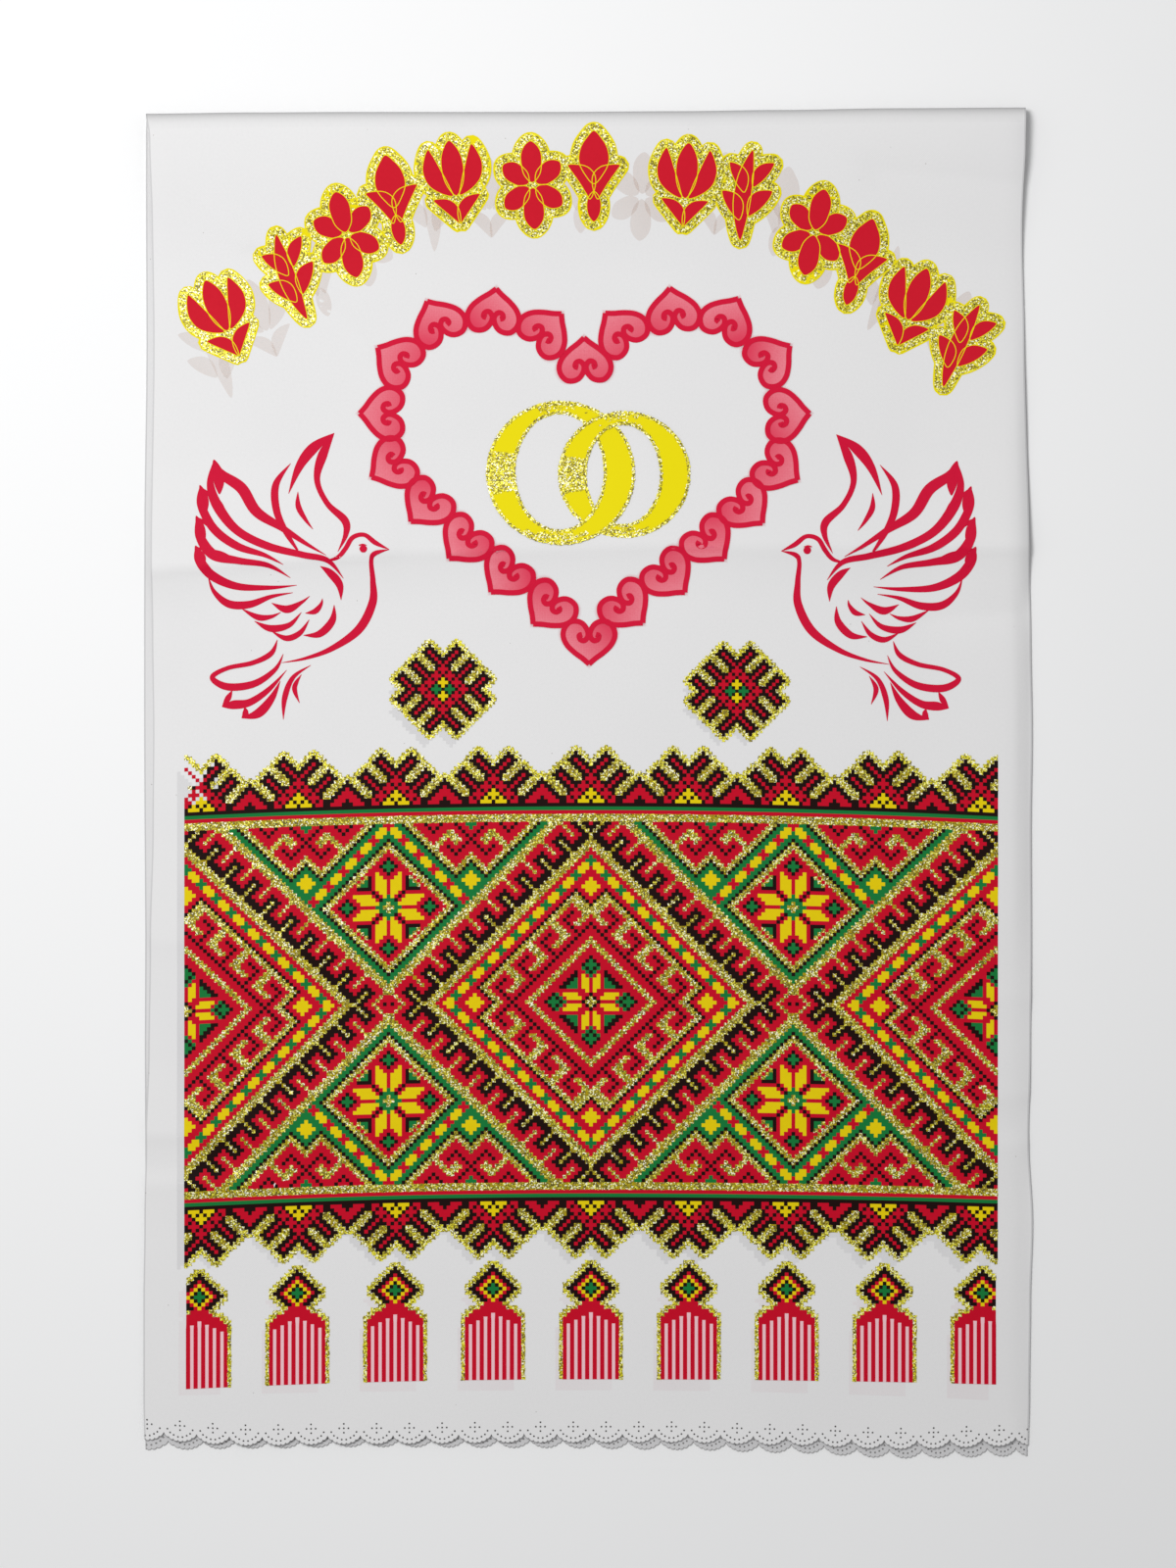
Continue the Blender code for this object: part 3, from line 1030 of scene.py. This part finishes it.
dove = {
    "places": {"leftDove": (-120.8, 84.3, 1), "rightDove": (118.6, 83.7, -1)},   # middle and mirroring
    "weight": 0.88, "lift": 0.00008, "eye": (29.2, 11.2, 1.6),
    "tuck": 4.2, "tuckFrom": 12.0, "tuckOver": 14.0,   # how far the lower body and tail are drawn up
}
doveStrokes = [
    # nape, crown and the top of the beak, then throat and breast
    [(13, 3.2, .1), (18.4, 5.6, .9), (21.8, 11, 1.1), (24.8, 15.8, 1.1), (29.6, 16.9, 1),
     (34.2, 13.6, 1.1), (39.8, 10.8, .1)],
    [(39.8, 10.8, .1), (34, 8.8, 1.1), (32.4, 3.4, 1), (33, -6, 1.3), (32.8, -15, 1.9), (27.2, -25.8, 2),
     (16.2, -33.6, 1.3), (5.4, -37.6, .7), (-4.2, -39.4, .1)],
    # far wing
    [(17.2, 58.6, .1), (12.6, 50, 2.2), (10.2, 39.5, 1.4), (14.4, 29.8, 1.3), (21.6, 22.8, 1.8),
     (22, 17, 1.2), (18.8, 9.6, .1)],
    [(17.2, 58.6, .1), (8.8, 52.6, 2.4), (3, 45, 1.9), (-1.4, 33.8, .1)],
    [(-.6, 46.2, .1), (-6.6, 37.5, 1.6), (-6.3, 27, 1.7), (-2.4, 18, 1.3), (2.4, 10.4, .5)],
    [(2.4, 34.6, .1), (2.6, 28.6, 1.3), (5.4, 23.4, .9), (8.6, 19.2, .1)],
    # near wing, its long feathers from the top down
    [(-32, 47.2, .1), (-28.4, 41.6, 2), (-20.6, 36, 2.6), (-14.4, 26.4, 2.4), (-4, 19.8, 1.6),
     (6, 13.2, .9), (14, 7.6, .1)],
    [(-32, 47.2, .1), (-33.4, 38, 1.6), (-30.4, 28.8, 2.4), (-22.4, 18.8, 2), (-10, 12.4, 1.8),
     (4, 8, 1.5), (14.6, 3.8, 1.2), (21, -5, .1)],
    [(-37.6, 36.8, .1), (-37.2, 29.4, 1.8), (-31.8, 19.4, 2), (-22.4, 12.4, 1.8), (-11, 7.6, 1),
     (-3.4, 1, .1)],
    [(-37.6, 36.8, .1), (-34, 33.6, .9), (-29.6, 30.2, .9), (-26.4, 25.4, .1)],
    [(-39, 24.2, .1), (-37.6, 16.4, 2), (-32, 8, 2.4), (-21.6, 3.6, 1.6), (-9.6, .6, 1.1), (-.6, -4.8, .1)],
    [(-39, 24.2, .1), (-35.6, 22, .9), (-32.4, 19, .1)],
    [(-39.2, 12, .1), (-37.8, 4.6, 2.1), (-32.6, -3.8, 2.2), (-22.6, -8.2, 1.7), (-9.4, -8.8, 1),
     (2, -7.8, .1)],
    [(-39.2, 12, .1), (-34.8, 10.4, .9), (-28.8, 8.2, 1.4), (-23, 4.8, .1)],
    [(-34.2, -4, .1), (-31.8, -10.4, 1), (-25.8, -15.4, 1.8), (-17.4, -15.6, 1.7), (-8.4, -12.4, .9),
     (.4, -10.8, .1)],
    # shoulder
    [(11.6, .2, .1), (15.6, -2.8, 1.7), (19.4, -7.6, 1.7), (20, -13.8, .1)],
    # small feathers, each a leaf
    [(-8.4, -15, .1), (-2.2, -17.6, 1.8), (3.8, -14.8, .8), (7.2, -12.2, .1)],
    [(-20.8, -17.2, .1), (-14, -20.8, 1.4), (-8.6, -20.6, .9), (-4.6, -18.8, .1)],
    [(5.4, -19.2, .1), (9.4, -18.4, 1.3), (11.8, -15.6, .8), (12.4, -13.2, .1)],
    [(-15.4, -22.4, .1), (-8.8, -25.4, 1.6), (-1.2, -24, 1.2), (3.8, -18.8, .1)],
    [(-8.6, -26.4, .1), (-2.4, -29.4, 1.3), (3.2, -27.2, 1.2), (7, -21.8, .1)],
    [(4.6, -28.2, .1), (11.2, -27.6, 1.6), (16.4, -22.2, 1.6), (17.2, -15.8, .1)],
    # tail
    [(-6, -30, .1), (-8.6, -35.6, 1.2), (-16, -39.4, 1.1), (-26.4, -41.6, 1), (-32.6, -45.4, 1.2),
     (-26.4, -49.2, 1.7), (-15.6, -48, 1.6), (-7, -42.2, 1), (-3.6, -35.8, .1)],
    [(-2.2, -42.4, .1), (-9.6, -50.4, 1.2), (-17.4, -55.6, 1.7), (-24.2, -56.6, 2), (-28.6, -57.4, .1)],
    [(-24.4, -50.6, .1), (-26.2, -54, 1.4), (-28.6, -57.4, .1)],
    [(-4.8, -46.8, .1), (-8.4, -54, 1.6), (-13.8, -60, 2.1), (-20.6, -62, .1)],
    [(-19.4, -57.4, .1), (-19, -60, 1.5), (-20.6, -62, .1)],
    [(7.6, -40.4, .1), (.4, -45.4, 1), (-3, -53.6, 1.3), (-3.6, -62.6, .1)],
    [(3.8, -44.2, .1), (1, -49.6, 1.2), (3, -55.8, .1)],
]
featherTips = [
    leaf((-32, 47.8), (-29.6, 33.5), 2.3, 0.7, .4), leaf((-37.7, 37.4), (-35.0, 26.0), 1.6, 0.6, .4),
    leaf((-39.1, 24.8), (-36.2, 12.5), 1.8, 0.6, .4), leaf((-39.3, 12.6), (-36.2, 0.4), 2.0, 0.6, .4),
]


def tucked(y):
    return y + dove["tuck"] * softStep((dove["tuckFrom"] - y) / dove["tuckOver"])


for name, (middleX, middleY, side) in dove["places"].items():
    easel = Easel(name)
    easel.stand((middleX, middleY), mirror=side)
    for points in doveStrokes:
        easel.brush([(x, tucked(y), half * dove["weight"]) for x, y, half in points], across=2)
    for rim in featherTips:
        rim = [(x, tucked(y)) for x, y in rim]
        easel.fill(rim, 30, 3, middle=middleOf(rim))
    eyeX, eyeY, eyeRadius = dove["eye"]
    turns = [math.pi / 3 * turn for turn in range(6)]
    eye = [(eyeX + eyeRadius * math.cos(turn), eyeY + eyeRadius * math.sin(turn)) for turn in turns]
    easel.fill(eye, 12, 1, middle=(eyeX, eyeY))
    easel.brush([(27.4, 12.6, .25), (29.0, 13.0, .3), (30.6, 12.6, .1)])
    easel.hang([figureRed], dove["lift"])
print("doves printed")

# garland of hearts

heart = {
    "width": 21.6, "bleed": 1.22, "line": 0.86, "core": (0, 0.02),
    "tone": 0.50, "toneSlope": 0.9, "toneLean": 0.9,      # palest towards the tip
    "bleedLift": 0.00005, "fillLift": 0.00011, "lineLift": 0.00019,
}
# Half a heart from its tip to the curl in its lobe, for a width of 1, with half the stroke's width
heartEdge = [
    (0, .455, .012), (.12, .350, .015), (.28, .232, .017), (.42, .09, .021), (.488, -.07, .029),
    (.465, -.22, .039), (.365, -.335, .046), (.235, -.355, .047), (.115, -.305, .043),
    (.035, -.190, .036), (.020, -.075, .028), (.085, .010, .023), (.165, -.010, .020),
    (.185, -.085, .018), (.130, -.105, .024),
]
heartPlaces = [  # middle, and the way its tip points in degrees, from the garland's lowest heart round
    ((0.4, 58.4), -90), ((-15.7, 72.1), 227), ((-33.2, 85.4), 229), ((-50.1, 98.9), 228),
    ((-65.7, 114), 228), ((-79.9, 129.9), 211), ((-83.4, 150.9), 180), ((-77.6, 172.4), 147),
    ((-61.2, 187.9), 117), ((-38.5, 192), 84), ((-17.6, 184.4), 47), ((-1.3, 172), 92),
    ((13.4, 184.3), 130), ((34.7, 192.3), 98), ((56.9, 189), 63), ((74.3, 172.8), 35), ((80.6, 150.2), 4),
    ((77.3, 129), -33), ((64.2, 113), -45), ((49, 98.7), -48), ((32.8, 85), -47), ((15.5, 72.4), -46),
]
heartRim = [point[:2] for point in heartEdge[:11]]
heartRim += [(-x, y) for x, y in reversed(heartRim[:-1])]   # meets itself at the tip in a corner
outlines, fills, bleeds = Easel("heartOutlines"), Easel("heartFills"), Easel("heartBleeds")
for middle, toward in heartPlaces:
    turn = toward - 90
    fills.stand(middle, turn, heart["width"])
    lean = fills.rough.uniform(-heart["toneLean"], heart["toneLean"])

    def heartTone(u, v, lean=lean):
        x, y = followCurve(heartRim, u, True)
        return min(1.0, max(0.0, heart["tone"] - heart["toneSlope"] * y * v + lean * x * v))

    fills.fill(heartRim, 40, 5, middle=heart["core"], tone=heartTone)
    bleeds.stand(middle, turn, heart["width"] * heart["bleed"])
    bleeds.fill(heartRim, 40, 8, middle=heart["core"], tone=lambda u, v: v)
    for side in (1, -1):
        outlines.stand(middle, turn, heart["width"], side)
        outlines.brush([(x, y, half * heart["line"]) for x, y, half in heartEdge], step=0.6)
bleeds.hang([pinkBleed], heart["bleedLift"])
fills.hang([heartPink], heart["fillLift"])
outlines.hang([heartRed], heart["lineLift"])
print("hearts printed")

# two rings, linked

rings = [  # which half passes over, and the middle and radii of the outside and of the hole
    {"name": "leftRing", "over": -1,
     "outer": (-11.2, 126.6, 29.8, 28.9), "inner": (-11.6, 127.0, 18.6, 24.2)},
    {"name": "rightRing", "over": 1,
     "outer": (14.8, 125.9, 26.4, 25.3), "inner": (14.4, 125.9, 15.6, 20.9)},
]
ringLook = {
    "lift": 0.00008, "overLift": 0.00022, "fleckLift": 0.00012, "edge": 0.62, "jitter": 0.24,
    "patch": (162, 198, 0.96), "patchGrid": (34, 18),    # from and to in degrees, and share covered
    "heavy": ((64, 122, 0.24), (76, 110, 0.42)), "heavyGrid": (40, 8),
    "lowerShare": 0.4,                                   # of the top's glitter, at the bottom
    "strayDegrees": 0.7, "strayShare": 0.04, "flakeRise": (0.00002, 0.0001),
}


def ellipse(shape, degrees):
    x, y, across, up = shape
    return (x + across * math.cos(math.radians(degrees)), y + up * math.sin(math.radians(degrees)))


for ring in rings:
    body, flecks = Easel(ring["name"]), Easel(ring["name"] + "Glitter")

    def over(degrees, side=ring["over"]):
        return ringLook["overLift"] * softStep(0.5 + side * 1.2 * math.sin(math.radians(degrees)))

    def between(degrees, share, ring=ring):
        inner, outer = Vector(ellipse(ring["inner"], degrees)), Vector(ellipse(ring["outer"], degrees))
        return inner.lerp(outer, share)

    def ringSpot(u, v):
        spot = between(360 * u, v)
        place = body.put(spot.x, spot.y)
        place.z = over(360 * u)
        return place

    body.patch(120, 4, ringSpot)
    body.hang([ringYellow], ringLook["lift"])
    for shape in (ring["inner"], ring["outer"]):
        loop = [(*ellipse(shape, 360 * step / 48), ringLook["edge"]) for step in range(48)]
        flecks.brush(loop, closed=True, jitter=ringLook["jitter"], step=0.5, across=2,
                     lift=lambda u: over(360 * u))

    def speckle(fromDegrees, toDegrees, keep, grid):
        def place(u, v):
            stray, strayShare = ringLook["strayDegrees"], ringLook["strayShare"]
            degrees = fromDegrees + (toDegrees - fromDegrees) * u + flecks.rough.uniform(-stray, stray)
            share = v + flecks.rough.uniform(-strayShare, strayShare)
            spot = between(degrees, min(1.0, max(0.0, share)))
            spot = flecks.put(spot.x, spot.y)
            spot.z = over(degrees) + flecks.rough.uniform(*ringLook["flakeRise"])
            return spot

        known = len(flecks.mesh.faces)
        flecks.patch(*grid, place)
        flecks.mesh.faces.ensure_lookup_table()
        lost = [face for face in flecks.mesh.faces[known:] if flecks.rough.random() > keep]
        bmesh.ops.delete(flecks.mesh, geom=lost, context="FACES")

    speckle(*ringLook["patch"], ringLook["patchGrid"])
    for fromDegrees, toDegrees, keep in ringLook["heavy"]:
        speckle(fromDegrees, toDegrees, keep, ringLook["heavyGrid"])
        speckle(-toDegrees, -fromDegrees, keep * ringLook["lowerShare"], ringLook["heavyGrid"])
    flecks.hang([ringGlitter], ringLook["fleckLift"])
print("rings printed")

# a row of flowers and leaves over the hearts

flower = {"size": 1.02, "gilt": 3.0, "rim": 0.60, "line": 0.16, "jitter": 0.20,
          "rimLift": 0.00005, "giltLift": 0.00010, "petalLift": 0.00027, "lineLift": 0.00032}


def leafPair(start, end, half, bend=0.0, blunt=0.5):
    # a leaf and its mirror image
    return [leaf((side * start[0], start[1]), (side * end[0], end[1]), half, side * bend, blunt)
            for side in (1, -1)]


folkMotifs = {
    "tulip": [
        leaf((0, -7), (0, 15), 4.3, 0, .7),
        *leafPair((-1.5, -7), (-8.8, 12.5), 3.6, 3), *leafPair((0, -18), (-9.4, -7.5), 2.5, -2.2),
    ],
    "rosette": [
        leaf((0, 1), (0, 17.5), 4, 0, 1), leaf((0, -1), (0, -17.5), 4, 0, 1),
        *leafPair((1.5, .8), (11.4, 8.6), 3.8, 0, 1), *leafPair((1.5, -.8), (11.4, -8.6), 3.8, 0, 1),
    ],
    "sprig": [
        leaf((0, -18), (0, 18), 3.4, 1.6),
        leaf((-1.4, -10), (-9.8, .5), 3.2, -1.6), leaf((1.8, -8), (10.0, 3.0), 3.2, 1.6),
        leaf((-1.0, 1), (-8.4, 12), 2.9, -1.4), leaf((2.2, 3.5), (9.2, 14.0), 2.7, 1.4),
    ],
    "bud": [
        leaf((0, -3), (0, 18), 6, 0, .3), *leafPair((-1.4, -9), (-10.4, 4.5), 3.4, -3.4),
        leaf((0, -18), (0, -6), 2.8, 0, .8),
    ],
}
flowerPlaces = [  # middle, turn and motif
    ((-150, 191.2), 24, "tulip"), ((-121, 206.6), 20, "sprig"), ((-98.6, 223.6), 14, "rosette"),
    ((-79.4, 237.6), 10, "bud"), ((-54.6, 246.4), 8, "tulip"), ((-22.6, 243.6), 3, "rosette"),
    ((2.4, 247.2), 0, "bud"), ((40, 245.4), -4, "tulip"), ((64.6, 239.6), -8, "sprig"),
    ((92.4, 224.6), -13, "rosette"), ((110.8, 212.6), -17, "bud"), ((133, 195.8), -21, "tulip"),
    ((152.4, 178.4), -24, "sprig"),
]
petals, lines, edging = [Easel("flower" + part) for part in ("Petals", "Lines", "Edges")]
gilding = Easel("flowerGlitter", 0.000002)
for middle, turn, kind in flowerPlaces:
    for easel in (petals, lines, gilding, edging):
        easel.stand(middle, turn, flower["size"])
    for rim in folkMotifs[kind]:
        petals.fill(rim, 30, 3, middle=middleOf(rim))
        lines.brush([(x, y, flower["line"]) for x, y in rim], closed=True, step=0.7)
        loop = [(x, y, flower["gilt"]) for x, y in rim]
        gilding.brush(loop, closed=True, jitter=flower["jitter"], step=0.7, across=4)
        loop = [(x, y, flower["gilt"] + flower["rim"]) for x, y in rim]
        edging.brush(loop, closed=True, step=0.6, across=2)
edging.hang([ringYellow], flower["rimLift"])
gilding.hang([glitter], flower["giltLift"])
petals.hang([flowerRed], flower["petalLift"])
lines.hang([ringYellow], flower["lineLift"])
print("flowers printed")


# the same print on the underside of the back leaf, and how it faintly shows through, painted as faint shade
# on the front leaf

back = {"middle": -0.0003, "down": 0.0045, "face": 0.00010, "flatten": 0.3, "show": 0.00003}


def turnOver(piece, name, finishes, place):
    mesh = bmesh.new()
    mesh.from_mesh(piece.data)
    for vert in mesh.verts:
        relief = vert.co.z - frontHeight(vert.co.x, vert.co.y) - cloth["thickness"] / 2
        vert.co = place(2 * back["middle"] - vert.co.x, vert.co.y - back["down"], relief)
    for face in mesh.faces:
        face.smooth = True
        if len(finishes) == 1:
            face.material_index = 0
    return makePiece(name, mesh, finishes)


def showThroughShade(name, colour, least, most):
    # hardly there: painted shade of the ink on the far leaf, seen through the near one
    recipe = Recipe(name)
    cloud = recipe.cloud(recipe.place(), 24.0)
    return recipe.finish(Base_Color=colour, Roughness=0.7, Alpha=least + (most - least) * cloud)


greyShowShade = showThroughShade("grey show through", display(120, 118, 128), 0.02, 0.14)
showThrough = {
    "flowerPetals": showThroughShade("warm show through", display(196, 158, 132), 0.06, 0.22),
    "bandInks": greyShowShade, "leftStarInks": greyShowShade, "rightStarInks": greyShowShade,
    "tasselsInks": showThroughShade("pink show through", display(214, 140, 158), 0.01, 0.08),
}
for piece in printed[:]:
    name = "back" + piece.name[0].upper() + piece.name[1:]
    turnOver(
        piece, name, list(piece.data.materials),
        lambda x, y, relief: Vector((x, y, back["face"] - relief * back["flatten"])))
    if piece.name in showThrough:
        name = "faint" + piece.name[0].upper() + piece.name[1:]
        turnOver(
            piece, name, [showThrough[piece.name]], lambda x, y, relief: onFront(x, y, back["show"]))
print("underside printed")


# the room

room = {
    "cameraHeight": 1.8, "cameraY": -0.0004, "frameLength": 0.640, "sensor": 36.0, "clothTop": 0.002,
    "key": 10.7, "keyFrom": (-0.425, 0.437, 1.15), "keySize": 0.5, "fill": 0.41,
    "floorSize": 3.0, "floorHeight": -0.00005,
}

floorMesh = bmesh.new()
bmesh.ops.create_grid(floorMesh, x_segments=1, y_segments=1, size=room["floorSize"])
bmesh.ops.translate(floorMesh, verts=floorMesh.verts, vec=(0, 0, room["floorHeight"]))
floorData = bpy.data.meshes.new("floor")
floorMesh.to_mesh(floorData)
floorMesh.free()
floor = bpy.data.objects.new("floor", floorData)
bpy.context.scene.collection.objects.link(floor)
floorRecipe = Recipe("pale table")
floorData.materials.append(floorRecipe.finish(Base_Color=display(243, 243, 243), Roughness=0.6))

cameraData = bpy.data.cameras.new("camera")
cameraData.sensor_fit, cameraData.sensor_height = "VERTICAL", room["sensor"]
cameraData.lens = room["sensor"] * (room["cameraHeight"] - room["clothTop"]) / room["frameLength"]
camera = bpy.data.objects.new("camera", cameraData)
camera.location = (0.0, room["cameraY"], room["cameraHeight"])
bpy.context.scene.collection.objects.link(camera)
bpy.context.scene.camera = camera

lampData = bpy.data.lights.new("window", "AREA")
lampData.energy, lampData.size = room["key"], room["keySize"]
lamp = bpy.data.objects.new("window", lampData)
lamp.location = room["keyFrom"]
lamp.rotation_euler = Vector(room["keyFrom"]).to_track_quat("Z", "Y").to_euler()
bpy.context.scene.collection.objects.link(lamp)

world = bpy.context.scene.world or bpy.data.worlds.new("room")
bpy.context.scene.world = world
world.use_nodes = True
sky = world.node_tree.nodes["Background"].inputs
sky[0].default_value, sky[1].default_value = (0.985, 0.99, 1.0, 1.0), room["fill"]
bpy.context.scene.view_settings.view_transform = "Standard"
print("room lit")
